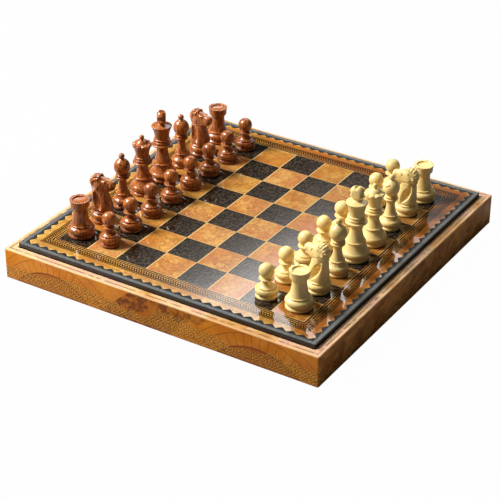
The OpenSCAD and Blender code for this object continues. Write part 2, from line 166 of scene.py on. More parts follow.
class Shader(Nodes):
    """A material whose patterns are laid out in mm in its object's own frame."""

    def __init__(self, name):
        self.slot = name
        self.mat = bpy.data.materials.new("look_" + name)
        super().__init__(self.mat)
        own = self.node("TexCoord").outputs["Object"]
        scale = self.node("VectorMath", own, operation="SCALE")
        self.pos = self.named(scale, Scale=1 / MM).outputs[0]
        self.x, self.y, self.z = self.split(self.pos)

    def stretched(self, sx, sy, sz, vector=None):
        return self.node("VectorMath", vector or self.pos, (sx, sy, sz),
                         operation="MULTIPLY").outputs[0]

    def noise(self, size, detail, rough, vector=None, distort=0, seed=0):
        """Noise whose lumps are about size mm across; seed moves it elsewhere."""
        made = self.node("TexNoise", vector or self.pos, noise_dimensions="4D")
        return self.named(made, W=seed, Scale=1 / size, Detail=detail, Roughness=rough,
                          Distortion=distort).outputs["Fac"]

    def lay(self, tint, share, *more):
        """Lays a tint over the colour so far; the shares are multiplied."""
        for factor in more:
            share = self.mul(share, factor)
        self.colour = self.mix(share, self.colour, tint)

    def shade(self, tone):
        """Makes the colour so far lighter or darker by a factor."""
        self.colour = self.mix(1, self.colour, self.vector(tone, tone, tone), "MULTIPLY")

    def lumps(self, low, high, *noise, **more):
        """Where a noise has risen from one value to another: a mask."""
        return self.remap(self.noise(*noise, **more), low, high)

    def pebbles(self, size):
        """Soft round cells about size mm across."""
        made = self.node("TexVoronoi", self.pos, feature="SMOOTH_F1")
        return self.named(made, Scale=1 / size).outputs["Distance"]

    def bump(self, height, distance, strength, normal=None):
        """height is 0 to 1; distance is its depth in mm."""
        return self.named(self.node("Bump"), Strength=strength, Distance=distance * MM,
                          Height=height, Normal=normal).outputs[0]

    def finish(self, rough, normal, **constants):
        """Makes the surface and keeps the material under its slot's name."""
        shader = self.named(self.node("BsdfPrincipled"), Base_Color=self.colour,
                            Roughness=rough, Normal=normal, **constants)
        self.node("OutputMaterial", shader.outputs[0])
        MATERIALS[self.slot] = self.mat


# ------ materials of case and board

AMBER = (0.52, 0.215, 0.040)
YELLOW = (0.68, 0.42, 0.130)
ORANGE = (0.47, 0.125, 0.018)
PINK = (0.60, 0.27, 0.14)
RUST = (0.30, 0.070, 0.018)
INK = (0.060, 0.018, 0.008)
DEEP_INK = (0.018, 0.007, 0.004)
# a pale cream for painted highlights along pressed edges and grooves
HIGHLIGHT_CREAM = (0.86, 0.66, 0.42)
WHITE = (1, 1, 1)
BLACK = (0.004, 0.004, 0.004)
# added to a place before it is cut into repeats, so that none falls below 0; in mm
FAR = 1000


def chart_print(s, u, v, tone_seed, lines):
    """An old-chart look on the plane (u, v): blotches, shores, rhumb lines and flecks; no real map.
    Lumps of noise are in mm; what a mask is cut at is a value of that noise. lines is their strength."""
    plane = s.vector(u, v, tone_seed * 100)
    tone = s.noise(44, 3, 0.6, plane, 0.5, tone_seed)
    s.colour = s.ramp(tone, (0.39, ORANGE), (0.46, AMBER), (0.53, YELLOW), (0.63, PINK))
    land = s.noise(40, 5, 0.62, plane, 0.8, tone_seed + 3.1)
    s.lay(RUST, s.remap(land, 0.545, 0.57), 0.45)
    s.lay(RUST, s.within(land, 0.545, 0.010, 0.005), 0.7 * lines + 0.3)
    river = s.within(s.noise(19, 4, 0.62, plane, 1.4, tone_seed + 7.7), 0.5, 0.012, 0.006)
    s.lay(RUST, river, 0.85 * lines)
    # straight fine lines: their direction in degrees, spacing and shift in mm
    for angle, gap, shift in ((17, 58, 11), (64, 71, 37), (108, 63, 5), (151, 77, 23)):
        a = radians(angle)
        across = s.add(s.mul(u, cos(a)), s.mul(v, sin(a)))
        saw = s.zigzag(s.add(across, shift + FAR), gap)
        s.lay(INK, s.less(saw, 0.24, 0.14), 0.6 * lines)
    hatch = s.less(s.zigzag(s.add(s.add(u, s.mul(v, 0.35)), FAR), 0.9), 0.22, 0.15)
    hatch_at = s.lumps(0.56, 0.60, 22, 2, 0.5, plane, 0, tone_seed + 6.6)
    s.lay(RUST, hatch, hatch_at, 0.35 * lines)
    flecks = s.lumps(0.57, 0.64, 1.5, 3, 0.7, plane, 0.6, tone_seed + 1.3)
    patches = s.lumps(0.44, 0.60, 20, 2, 0.5, plane, 0, tone_seed + 5.5)
    s.lay(INK, flecks, patches, 0.55)
    mottle = s.remap(s.noise(4, 5, 0.75, plane, 0, tone_seed + 9.1), 0.3, 0.7, 0.42, 1.50)
    grit = s.remap(s.noise(1.5, 2, 0.7, plane, 0, tone_seed + 2.2), 0.35, 0.65, 0.80, 1.18)
    s.shade(s.mul(mottle, grit))


def leather_bump(s, size, depth):
    """Fine pebbled grain."""
    return s.bump(s.add(s.pebbles(size), s.mul(s.noise(size * 3, 3, 0.6), 0.6)), depth, 0.6)


def key_pattern(s, along, across):
    """A chain of crossed strokes with short hooks; across runs from 0 to 1 over the band."""
    stroke, slope, half = 2.75, 0.7, 0.16
    saw = s.mul(s.zigzag(s.add(along, 500), stroke), 1 / stroke)
    rise = s.within(s.sub(across, s.add(s.mul(saw, slope), 0.15)), 0, half)
    fall = s.within(s.add(across, s.mul(saw, slope)), 0.85, half)
    hook = s.mul(s.within(saw, 0.5, half), s.within(across, 0.86, 0.12, 0.03))
    return s.both(s.both(rise, fall), hook)


def square_frame(s):
    """Distance from the centre to the nearest side, and the place along that side."""
    ax, ay = s.size(s.x), s.size(s.y)
    along_x = s.m("GREATER_THAN", ay, ax)
    along = s.add(s.mul(along_x, s.x), s.mul(s.sub(1, along_x), s.y))
    return s.both(ax, ay), along


def printed_face():
    s = Shader("printed_face")
    reach, along = square_frame(s)
    chart_print(s, s.x, s.y, 0, 0.9)
    # each square leans to its own tint
    cell = [s.m("FLOOR", s.mul(s.add(place, FIELD_HALF), 1 / SQUARE)) for place in (s.x, s.y)]
    pick = s.node("TexWhiteNoise", s.vector(*cell, 0), noise_dimensions="2D")
    tint = s.ramp(pick.outputs["Value"], (0, (0.64, 0.26, 0.045)), (0.35, (0.70, 0.39, 0.11)),
                  (0.65, (0.70, 0.33, 0.12)), (1, (0.74, 0.41, 0.24)))
    in_field = s.less(reach, FIELD_HALF, 0.05)
    s.lay(tint, in_field, 0.42)
    # fine rust veins
    s.lay((0.36, 0.085, 0.020), s.within(s.noise(15, 4, 0.65, seed=33), 0.5, 0.012, 0.008), 0.55)
    # painted highlight on the pressed edges of the squares, where they catch the light: stronger on the
    # seams that run along Y
    for value, bright in ((s.x, 0.95), (s.y, 0.35)):
        gap = s.zigzag(s.add(value, FIELD_HALF + 20 * SQUARE), SQUARE)
        seam = s.m("MINIMUM", gap, s.sub(SQUARE, gap))
        s.lay(HIGHLIGHT_CREAM, s.less(seam, 0.75, 0.2), in_field, bright)
    # the margin round the squares; darker rust along the right and the back, partly the print's tone and
    # partly painted shade where the men block the light
    out = s.sub(reach, FIELD_HALF)
    margin = s.mul(s.sub(1, in_field), s.less(out, 26))
    back = s.remap(s.add(s.y, s.mul(s.x, 0.3)), 105, 140)
    rust_and_painted_shade = s.mul(margin, s.both(s.remap(s.x, 130, 139), back))
    s.lay(YELLOW, margin, 0.35)
    s.lay((0.44, 0.115, 0.022), rust_and_painted_shade, 0.7)
    # lines in it, from the squares outwards: place, half width, softness, colour, strength. The cream line
    # between the two dark ones is a painted highlight along a pressed groove
    for place, half, soft, ink, strength in (
            (1.3, 0.7, 0.15, DEEP_INK, 1), (2.45, 0.35, 0.1, HIGHLIGHT_CREAM, 0.4), (3.6, 0.75, 0.15, DEEP_INK, 1)):
        s.lay(ink, s.within(out, place, half, soft), strength)
    band = s.within(out, 7.9, 3.6, 0.1)
    s.lay((0.70, 0.36, 0.10), band, s.remap(rust_and_painted_shade, 0, 1, 0.45, 0.1))
    s.lay(DEEP_INK, key_pattern(s, along, s.remap(out, 4.3, 11.4)), band, 0.97)
    s.lay(DEEP_INK, s.within(out, 11.9, 0.5, 0.15))
    # the cut edge of the sheet shows pale between the border's teeth
    s.lay((0.86, 0.62, 0.30), s.remap(s.sub(BOARD_HALF, reach), 9.8, 8.2, 0, 0.3))
    # painted shade: the print is multiplied darker towards the right, where the window's light falls off;
    # the yellow tint lies all over
    painted_shade_rightwards = s.remap(s.x, -20, 110, 1, 0.74)
    yellow_tint_and_painted_shade = s.vector(s.mul(painted_shade_rightwards, 0.88), s.mul(painted_shade_rightwards, 0.82), s.mul(painted_shade_rightwards, 0.54))
    s.colour = s.mix(1, s.colour, yellow_tint_and_painted_shade, "MULTIPLY")
    rough = s.remap(s.noise(9, 3, 0.6, seed=2), 0.3, 0.7, 0.30, 0.36)
    grain = s.bump(s.noise(1.6, 2, 0.5, seed=11), 0.008, 0.6)
    s.finish(rough, grain, Specular_IOR_Level=0, Coat_Weight=0.9, Coat_Roughness=0.03)


def dark_leather():
    s = Shader("dark_leather")
    # pale flecks in the grain, partly the leather's own colour and partly painted glints of the sheen on
    # its grain
    speck = s.lumps(0.50, 0.58, 2.5, 3, 0.85)
    fine = s.lumps(0.52, 0.64, 1.3, 2, 0.6, seed=4)
    s.colour = s.mix(s.mul(speck, 0.9), (0.0050, 0.0030, 0.0018), (0.082, 0.055, 0.033))
    s.lay((0.105, 0.078, 0.052), fine, 0.5)
    rough = s.remap(speck, 0, 1, 0.05, 0.03)
    grain = s.bump(s.noise(2.1, 3, 0.7, seed=8), 0.024, 0.8)
    s.finish(rough, grain, Specular_IOR_Level=0.5)


def border_leather():
    s = Shader("border_leather")
    reach, along = square_frame(s)
    inset = s.sub(BOARD_HALF, reach)
    lobe = s.size(s.sub(s.m("FRACT", s.add(s.mul(along, 1 / PITCH), 100)), 0.5))
    # combed strokes across the strip, 6 or 7 to a tooth
    lean = s.mul(s.noise(7, 2, 0.5), 9)
    comb = s.zigzag(s.add(s.add(along, lean), FAR), PITCH / 13)
    stroke = s.mul(s.less(comb, 0.26, 0.16), s.remap(inset, 1.2, 3))
    s.colour = s.ramp(s.noise(0.9, 4, 0.75), (0.38, (0.045, 0.051, 0.050)), (0.62, (0.190, 0.200, 0.192)))
    s.lay((0.014, 0.015, 0.015), stroke, 0.75)
    # the teeth are black, the strip outside them grey, its rounded edge dark
    tip = s.remap(s.add(inset, lobe), 4, 5)
    s.lay(BLACK, tip)
    s.lay((0.016, 0.017, 0.016), s.remap(inset, 0.6, 1.6, 0.85, 0))
    rough = s.remap(tip, 0, 1, 0.42, 0.60)
    s.finish(rough, s.bump(stroke, 0.08, -0.6, leather_bump(s, 0.7, 0.03)),
             Specular_IOR_Level=0.35)


def printed_wrap():
    s = Shader("printed_wrap")
    reach, along = square_frame(s)
    side = s.m("GREATER_THAN", s.size(s.x), s.size(s.y))
    chart_print(s, s.add(along, s.mul(side, 400)), s.z, 6, 0.3)
    ochre = s.mix(s.lumps(0.35, 0.65, 30, 3, 0.6, seed=21), (0.70, 0.175, 0.004),
                  (0.88, 0.285, 0.009))
    s.lay(ochre, 0.80)
    # dark reddish land over the middle, cut off on a slant
    edge = s.add(s.add(along, s.mul(s.z, -1.1)), s.mul(s.noise(12, 3, 0.6, seed=3), 3))
    ragged = s.add(edge, s.mul(s.noise(26, 4, 0.6, seed=5), 90))
    land = s.mul(s.remap(edge, -62, -60), s.remap(ragged, 60, 64, 1, 0))
    blot = s.lumps(0.47, 0.56, 9, 5, 0.68, seed=17)
    s.lay((0.17, 0.040, 0.010), land, s.remap(blot, 0, 1, 0.35, 0.9))
    # globes: a rust disc, then two rings with spokes between them; place and height of the hub, which
    # lies below the side, and radius of the inner ring
    for hub, depth, ring in ((-118, -34, 68), (112, -44, 76)):
        du, dv = s.sub(along, hub), s.sub(s.z, depth)
        radius = s.length(du, dv)
        disc = ring - 14
        s.lay((0.36, 0.085, 0.014), s.less(radius, disc, 0.4), 0.62)
        s.lay((0.24, 0.050, 0.010), s.within(radius, disc, 0.9, 0.3), 0.8)
        spoke = s.less(s.mul(s.zigzag(s.add(s.m("ARCTAN2", dv, du), 10), 0.062), radius), 0.22, 0.14)
        between = s.within(radius, ring - 6.5, 7, 0.1)
        rings = s.both(s.within(radius, ring, 0.24, 0.14), s.mul(spoke, between))
        rings = s.both(rings, s.within(radius, ring + 9, 0.2, 0.14))
        s.lay(INK, rings, 0.75)
    # pressed scrollwork along the lower part, with a painted gold highlight where it stands up and darker
    # sunk lines
    cell = []
    for place, shift, width, wobble, seed in ((along, 900, 8.6, 5, 8), (s.z, 1.5, 7.2, 4, 9)):
        moved = s.add(place, s.mul(s.sub(s.noise(5, 2, 0.5, seed=seed), 0.5), wobble))
        cell.append(s.sub(s.m("FRACT", s.mul(s.add(moved, shift), 1 / width)), 0.5))
    turn = s.m("ARCTAN2", cell[1], cell[0])
    scroll = s.zigzag(s.add(s.length(*cell), s.mul(turn, 0.045)), 0.14)
    raised = s.less(scroll, 0.055, 0.03)
    swell = s.sub(s.noise(60, 2, 0.5, s.vector(along, 0, 0), seed=1), 0.5)
    top_of_scrolls = s.add(17, s.mul(swell, 44))
    sunk = s.within(scroll, 0.10, 0.03, 0.02)
    low_part = s.mul(s.remap(s.sub(s.z, top_of_scrolls), -1.5, 1, 1, 0), s.remap(s.z, 2.6, 3.2))
    raised = s.mul(raised, low_part)
    s.lay((0.22, 0.060, 0.010), sunk, low_part, 0.6)
    # painted highlight: gold where the scrolls stand up
    s.lay((0.86, 0.46, 0.07), raised, 0.65)
    s.lay((0.62, 0.33, 0.08), s.within(s.z, 3, 0.35, 0.15), 0.5)
    s.lay((0.03, 0.010, 0.004), s.remap(s.z, 0.5, 1.5, 0.85, 0))
    # the right side is a browner part of the print
    streak = s.lumps(0.42, 0.58, 16, 5, 0.66, s.vector(s.mul(s.y, 0.55), s.z, 0), 1.2, 31)
    brown = s.mix(streak, (0.82, 0.370, 0.085), (0.38, 0.115, 0.020))
    s.lay(brown, side, s.m("GREATER_THAN", s.x, 0), 0.72)
    # rim: pale with a line of small dark marks
    across = s.sub(CASE_HALF, reach)
    rim = s.mul(s.remap(across, 0.4, 0.9), s.remap(s.z, RIM_Z - 0.9, RIM_Z - 0.4))
    rim_tone = s.ramp(s.noise(28, 3, 0.5, seed=12), (0.38, (0.60, 0.30, 0.085)),
                      (0.50, (0.78, 0.50, 0.24)), (0.62, (0.74, 0.42, 0.26)))
    marks = key_pattern(s, s.mul(along, 1.5), s.remap(across, 2.8, 5.2))
    marks = s.mul(marks, s.within(across, 4, 1.2, 0.1))
    patchy = s.lumps(0.38, 0.5, 8, 2, 0.5, seed=14)
    rim_tone = s.mix(s.mul(s.mul(marks, patchy), 0.85), rim_tone, (0.10, 0.04, 0.02))
    s.lay(rim_tone, rim)
    # rubbed corners and rim edge
    rubbed = s.mul(s.remap(across, 0.2, 1, 1, 0), s.remap(s.z, RIM_Z - 1.5, RIM_Z - 0.5))
    s.lay((0.86, 0.60, 0.30), rubbed, 0.75)
    height = s.add(raised, s.mul(s.pebbles(0.8), 0.25))
    s.finish(0.42, s.bump(height, 0.25, 0.8), Specular_IOR_Level=0.16)


def plain_leather(name, colour, rough, size=0.6, depth=0.05):
    s = Shader(name)
    s.colour = colour
    s.shade(s.remap(s.noise(size * 2, 3, 0.65), 0.3, 0.7, 0.7, 1.35))
    s.finish(rough, leather_bump(s, size, depth))


def board_wood(name, light, dark, ring, rough, along=(0.06, 1, 1)):
    """Straight-grained timber."""
    s = Shader(name)
    streak = s.noise(ring, 5, 0.62, s.stretched(*along), 0.3)
    pores = s.lumps(0.56, 0.66, 0.45, 2, 0.5, s.stretched(along[0] * 0.6, along[1], along[2]))
    s.colour = s.mix(s.remap(streak, 0.32, 0.68), light, dark)
    s.lay(dark, pores, 0.35)
    s.finish(rough, s.bump(streak, 0.04, 0.4))


def turned_wood(name, light, mid, dark, rough, coat, fibres):
    """Wood of the men: upright grain with growth rings, a little different on each man."""
    s = Shader(name)
    own = s.node("ObjectInfo").outputs["Random"]
    shift = s.vector(s.mul(own, 400), s.mul(own, 170), 0)
    place = s.node("VectorMath", s.pos, shift, operation="ADD").outputs[0]
    rings = s.noise(5.5, 3, 0.55, s.stretched(1, 1, 0.10, place), 0.8)
    lines = s.zigzag(s.mul(rings, 7), 0.5)
    fibre = s.noise(0.8, 3, 0.6, s.stretched(1, 1, 0.06, place))
    s.colour = s.ramp(lines, (0, light), (0.28, mid), (0.5, dark))
    s.lay(dark, s.remap(fibre, 0.45, 0.7), fibres)
    s.shade(s.remap(own, 0, 1, 0.86, 1.12))
    felt = s.less(s.z, 0.75, 0.05)
    s.lay(BLACK, felt)
    roughness = s.remap(felt, 0, 1, rough, 0.95)
    s.finish(roughness, s.bump(fibre, 0.012, 0.25), Coat_Weight=coat,
             Coat_Roughness=0.13, Specular_IOR_Level=0.5)


def felt():
    """Green wool with a fuzzy surface."""
    s = Shader("felt")
    fuzz = s.noise(0.5, 4, 0.8)
    s.colour = s.ramp(fuzz, (0.3, (0.03, 0.06, 0.028)), (0.7, (0.07, 0.125, 0.055)))
    s.finish(0.95, s.bump(fuzz, 0.2, 0.7), Sheen_Weight=0.5, Sheen_Roughness=0.5)


def ivory(name, rough):
    """Cast resin with a faint vein."""
    s = Shader(name)
    vein = s.noise(3, 4, 0.6, s.stretched(1, 0.2, 1))
    s.colour = s.ramp(vein, (0.35, (0.74, 0.68, 0.53)), (0.65, (0.83, 0.78, 0.66)))
    s.finish(rough, s.bump(s.noise(0.8, 2, 0.5), 0.01, 0.3), Coat_Weight=0.4,
             Coat_Roughness=0.12, Subsurface_Weight=0.08, Subsurface_Scale=0.002)


def card_paper(name, ink):
    """A pack of cards: lattice back on top, fine leaves at the sides."""
    s = Shader(name)
    low, high = node_box("card_pack_red" if "red" in name else "card_pack_blue")
    paper, leaf = (0.86, 0.84, 0.80), 0.16
    dx, dy = (s.sub(s.size(s.sub(place, (low[d] + high[d]) / 2)), (high[d] - low[d]) / 2)
              for d, place in enumerate((s.x, s.y)))
    margin = s.mul(s.both(dx, dy), -1)
    net = s.both(*(s.less(s.zigzag(s.add(slant, 900), 1.6), 0.35, 0.1)
                   for slant in (s.add(s.x, s.y), s.sub(s.x, s.y))))
    back = s.mix(net, ink, paper)
    back = s.mix(s.remap(margin, 3.4, 3.6, 1, 0), back, paper)
    back = s.mix(s.within(margin, 4.4, 0.25, 0.1), back, ink)
    leaves = s.zigzag(s.z, leaf)
    side = s.mix(s.remap(leaves, 0, leaf), (0.55, 0.53, 0.49), (0.88, 0.86, 0.82))
    top = s.remap(s.z, high[2] - 0.05, high[2] - 0.02)
    s.colour = s.mix(top, side, back)
    s.finish(0.4, s.bump(leaves, 0.05, 0.5))


def make_materials():
    printed_face()
    dark_leather()
    border_leather()
    printed_wrap()
    plain_leather("black_band", (0.018, 0.018, 0.020), 0.34)
    plain_leather("black_lining", (0.012, 0.012, 0.012), 0.6)
    plain_leather("backing_paper", (0.045, 0.035, 0.030), 0.75, 1.4, 0.03)
    board_wood("board_core", (0.56, 0.42, 0.26), (0.44, 0.31, 0.18), 1.2, 0.8, (1, 1, 1))
    board_wood("partition_wood", (0.50, 0.31, 0.15), (0.30, 0.16, 0.065), 2.2, 0.45)
    turned_wood("dark_wood", (0.60, 0.205, 0.045), (0.41, 0.112, 0.020), (0.17, 0.032, 0.006),
                rough=0.28, coat=0.40, fibres=0.38)
    turned_wood("light_wood", (0.93, 0.72, 0.31), (0.92, 0.69, 0.27), (0.86, 0.60, 0.20),
                rough=0.42, coat=0.08, fibres=0.08)
    felt()
    ivory("domino_ivory", 0.4)
    ivory("dice_ivory", 0.2)
    card_paper("cards_red", (0.45, 0.02, 0.02))
    card_paper("cards_blue", (0.02, 0.05, 0.24))


def dress_cad():
    """Each CAD node gets the finish of its own slot."""
    slots = {p["node"]: p["material_slot"] for p in frame["record"]["subparts"]}
    for name, piece in NODES.items():
        piece.data.materials.clear()
        piece.data.materials.append(MATERIALS[slots[name]])


# ------ mesh helpers

def mm_mesh(name, verts, faces):
    mesh = bpy.data.meshes.new(name)
    mesh.from_pydata([tuple(float(c) * MM for c in v) for v in verts], [], faces)
    mesh.update()
    return mesh


def in_scene(name, data):
    made = bpy.data.objects.new(name, data)
    SCENE.collection.objects.link(made)
    return made


def new_piece(name, verts, faces, material, body, replaced=None, smooth_angle=35.0):
    add_piece(name, mm_mesh(name, verts, faces), material, body, replaced, smooth_angle)


def add_piece(name, mesh, material, body, replaced=None, smooth_angle=35.0, place=None):
    """A mesh as a named piece on a body, in place of a CAD node where one is given."""
    piece = in_scene(name, mesh)
    if not mesh.materials:
        mesh.materials.append(MATERIALS[material])
    if smooth_angle:
        mesh.shade_smooth()
        mesh.set_sharp_from_angle(angle=radians(smooth_angle))
    if place is not None:
        piece.matrix_world = place
    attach(piece, body)
    if replaced:
        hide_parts(replaced)


def bend(start, corner, end, steps):
    """Points on a curve from start to end that is drawn towards the corner."""
    for k in range(steps + 1):
        t = k / steps
        yield (1 - t) ** 2 * start + 2 * t * (1 - t) * corner + t * t * end


def rounded(points, radius=0.35, steps=3):
    """An open outline whose sharper inner corners are rounded off by a short curve."""
    nearly_straight, share = -0.9, 0.45
    made = [np.array(points[0], float)]
    for before, corner, after in zip(points, points[1:], points[2:]):
        before, corner, after = (np.array(p, float) for p in (before, corner, after))
        back, ahead = before - corner, after - corner
        back_len, ahead_len = (max(np.linalg.norm(v), 1e-9) for v in (back, ahead))
        if np.dot(back, ahead) < nearly_straight * back_len * ahead_len:
            made.append(corner)
            continue
        reach = min(radius, back_len * share, ahead_len * share)
        made += bend(corner + back / back_len * reach, corner, corner + ahead / ahead_len * reach, steps)
    made.append(np.array(points[-1], float))
    return made


def ring(a, b, count):
    """Quads between two closed rows of points that start at a and b."""
    return [(a + k, a + (k + 1) % count, b + (k + 1) % count, b + k) for k in range(count)]


def lathe(outline, sides, shape=None):
    """Verts and faces of an outline of (radius, height) turned about Z; both ends lie on the axis.
    shape(radius, height, angle) may move a point."""
    on_axis = 1e-4
    inner = [p for p in outline if p[0] > on_axis]
    verts = [(0, 0, outline[0][1])]
    for radius, height in inner:
        for k in range(sides):
            a = 2 * pi * k / sides
            r, z = shape(radius, height, a) if shape else (radius, height)
            verts.append((r * cos(a), r * sin(a), z))
    verts.append((0, 0, outline[-1][1]))
    last = len(verts) - 1
    faces = [(0, 1 + (k + 1) % sides, 1 + k) for k in range(sides)]
    for row in range(len(inner) - 1):
        faces += ring(1 + row * sides, 1 + (row + 1) * sides, sides)
    top = 1 + (len(inner) - 1) * sides
    faces += [(top + k, top + (k + 1) % sides, last) for k in range(sides)]
    return verts, faces


def swept_square(name, profile, half, corner, material, body, replaced):
    """A closed profile of (inset, z) swept round a square with rounded corners."""
    steps, least_radius = 6, 0.15
    verts, faces = [], []
    for inset, z in profile:
        radius = max(corner - inset, least_radius)
        centre = half - inset - radius
        for side, (sx, sy) in enumerate(((1, 1), (-1, 1), (-1, -1), (1, -1))):
            for k in range(steps + 1):
                a = (side + k / steps) * pi / 2
                verts.append((sx * centre + radius * cos(a), sy * centre + radius * sin(a), z))
    wide = 4 * (steps + 1)
    for a in range(0, len(verts), wide):
        faces += ring(a, (a + wide) % len(verts), wide)
    new_piece(name, verts, faces, material, body, replaced)


# ------ wrap, band and border

def quarter(inset, z, radius, start, steps=5):
    """A quarter round in (inset, z), centred there."""
    angles = [radians(start + 90 * k / steps) for k in range(steps + 1)]
    return [(inset - radius * cos(a), z + radius * sin(a)) for a in angles]


def case_wrap():
    """The leathercloth, with a soft edge where it turns over the rim."""
    base, cloth, chamfer, rim_w, outer_r, corner_r = CASE_LOW[2], 0.6, 0.3, 9.2, 0.9, 1.6
    under_rim = RIM_Z - cloth - 0.15
    profile = ([(chamfer, base), (0, base + chamfer)] + quarter(outer_r, RIM_Z - outer_r, outer_r, 0)
               + quarter(rim_w - cloth, RIM_Z - cloth, cloth, 90)
               + [(rim_w, LID_Z), (rim_w - cloth, LID_Z), (rim_w - cloth, under_rim),
                  (cloth, under_rim), (cloth, base)])
    swept_square("case_wrap_soft", profile, CASE_HALF, corner_r, "printed_wrap", "case", "case_wrap")


def edge_band():
    """The black leather strip round the lid, a skin's thickness inside the outline of the board."""
    thick, skin, edge_r, corner_r = 0.8, 0.02, 0.48, 0.9
    profile = ([(thick, LID_Z), (0.25, LID_Z), (skin, LID_Z + 0.3), (skin, FACE_Z - 0.45)]
               + quarter(skin + edge_r, FACE_Z - skin - edge_r, edge_r, 0) + [(thick, FACE_Z - skin)])
    swept_square("edge_band_soft", profile, BOARD_HALF, corner_r, "black_band", "lid", "board_edge_band")


def lobe_inset(u):
    """How far the border reaches in from the edge, at a place along it: teeth with straight
    flanks and slightly blunt tips."""
    blunt, slope = 0.2, 1.04
    t = abs(u / PITCH % 1 - 0.5)
    return BORDER_W - LOBE_DEPTH * min(1.0, slope * hypot(2 * t, blunt) - blunt)


def scalloped_border():
    """Leather teeth along all four edges, with a rounded outer edge; they meet on the diagonals."""
    top = BORDER_TOP
    reach = next(u for u in np.arange(BOARD_HALF, 0, -0.01) if u <= BOARD_HALF - lobe_inset(u))
    steps = SCALLOPS * 18
    # the outer edge and the inner one: distance in from each, and height
    outer = [(0.35, FACE_Z), (0.0, FACE_Z), (0.04, top - 0.12), (0.16, top - 0.03), (0.35, top),
             (1.2, top)]
    inner = [(0.35, top), (0.1, top - 0.03), (0, top - 0.1), (0, FACE_Z)]
    wide = len(outer) + len(inner)
    verts, faces = [], []
    for turn in range(4):
        first = len(verts)
        a = radians(90 * turn)
        for k in range(steps + 1):
            place = -1 + 2 * k / steps
            line = [(place * (BOARD_HALF - inset), -BOARD_HALF + inset, z) for inset, z in outer]
            u = place * reach
            line += [(u, -BOARD_HALF + lobe_inset(u) - back, z) for back, z in inner]
            verts += [(x * cos(a) - y * sin(a), x * sin(a) + y * cos(a), z)
                      for x, y, z in line]
        for k in range(steps):
            p, q = first + k * wide, first + (k + 1) * wide
            faces += [(p + i, q + i, q + (i + 1) % wide, p + (i + 1) % wide) for i in range(wide)]
    new_piece("border_lobes", verts, faces, "border_leather", "lid", "scalloped_border", 50)


# five dice in a row: each turned a step more than the last, every second one set back
DIE_W, DIE_STEP, SET_BACK = 16, radians(12), 3.0
PIP_R, PIP_APART, PIP_PROUD, PIP_SIDES = 1.35, 3.9, 0.03, 14
MIDDLE, PAIR, OTHER_PAIR = ((0, 0),), ((-1, -1), (1, 1)), ((-1, 1), (1, -1))
PIPS = (MIDDLE, PAIR, PAIR + MIDDLE, PAIR + OTHER_PAIR, PAIR + OTHER_PAIR + MIDDLE,
        PAIR + OTHER_PAIR + ((-1, 0), (1, 0)))


def dice_pips():
    """Round spots on the tops and sides of the dice."""
    low, high = node_box("dice")
    half = DIE_W / 2
    reach = half * (cos(2 * DIE_STEP) + sin(2 * DIE_STEP))
    pitch = (high[0] - low[0] - 2 * reach) / 4
    verts, faces = [], []
    for k in range(5):
        x, y = (low[0] + high[0]) / 2 + (k - 2) * pitch, low[1] + reach + SET_BACK * (k % 2)
        place = Matrix.Translation((x, y, high[2] - half)) @ Matrix.Rotation(DIE_STEP * (k - 2), 4, "Z")
        for side in range(5):
            facing = Matrix.Rotation(pi / 2, 4, "X") if side else Matrix.Identity(4)
            turned = place @ Matrix.Rotation(side * pi / 2, 4, "Z") @ facing
            for px, py in PIPS[(k * 2 + side * (3 if k % 2 else 1)) % 6]:
                faces.append(tuple(range(len(verts), len(verts) + PIP_SIDES)))
                for c in range(PIP_SIDES):
                    a = 2 * pi * c / PIP_SIDES
                    spot = (px * PIP_APART + PIP_R * cos(a), py * PIP_APART + PIP_R * sin(a),
                            half + PIP_PROUD)
                    verts.append(tuple(turned @ Vector(spot)))
    new_piece("dice_pips", verts, faces, "black_band", "case", None, 0)


# ------ outlines of the men: (radius, height), mm

def arc(r, z, radius, start, end, steps=10):
    angles = [radians(start + (end - start) * k / steps) for k in range(steps + 1)]
    return [(r + radius * cos(a), z + radius * sin(a)) for a in angles]


def bead(r, z, half):
    return arc(r - half, z, half, -90, 90)


def sweep(a, c, b, steps=12):
    return [tuple(p) for p in bend(*(np.array(q, float) for q in (a, c, b)), steps)]


MAN_FELT = 0.8


def foot(r):
    """Felt disc, rounded plinth and the first swelling of a turned foot of radius r."""
    return ([(0, 0), (r - 1.2, 0), (r - 1.2, MAN_FELT), (r - 0.5, MAN_FELT)]
            + arc(r - 1.5, MAN_FELT + 1.3, 1.2, -50, 60, 6) + [(r - 1.4, MAN_FELT + 3.2)]
            + arc(r - 3.6, MAN_FELT + 6.6, 3.6, -60, 55, 12))


KING = (foot(13.8) + sweep((12.2, 10.6), (10.2, 13.4), (9.2, 18.2)) + bead(9.9, 19.3, 0.9)
        + sweep((8.9, 20.4), (6.4, 26), (5.8, 33)) + sweep((5.8, 33), (6, 37), (7.4, 38.4))
        + bead(10.6, 39.8, 1.1) + [(8, 41)] + bead(9, 42.9, 1.2) + [(7.4, 44.2)] + bead(8.4, 45.6, 1.1)
        + sweep((7.3, 46.9), (7.4, 53), (10, 59.2)) + bead(10.5, 60, 0.7)
        + sweep((9.4, 60.9), (5, 61.6), (3.2, 63.2)) + [(2.6, 64.6), (0, 64.6)])
QUEEN = (foot(13.5) + sweep((11.9, 10.6), (9.8, 13), (8.6, 16.6)) + bead(9.3, 17.6, 0.9)
         + sweep((8.3, 18.6), (5.8, 23), (5.3, 28.6)) + sweep((5.3, 28.6), (5.6, 32), (7, 33.2))
         + bead(10, 34.5, 1.1) + [(7.6, 35.7)] + bead(8.6, 37.4, 1.1) + [(7, 38.6)] + bead(7.8, 39.8, 1)
         + sweep((6.7, 41), (6.8, 46), (8.8, 51.4)) + [(9.9, 52.4), (10, 54.6), (9.2, 55)]
         + arc(0.4, 52.4, 6.9, 28, 62, 8) + [(2.2, 58.8), (1.8, 60.2)] + arc(0, 61.6, 2.4, -38, 90))
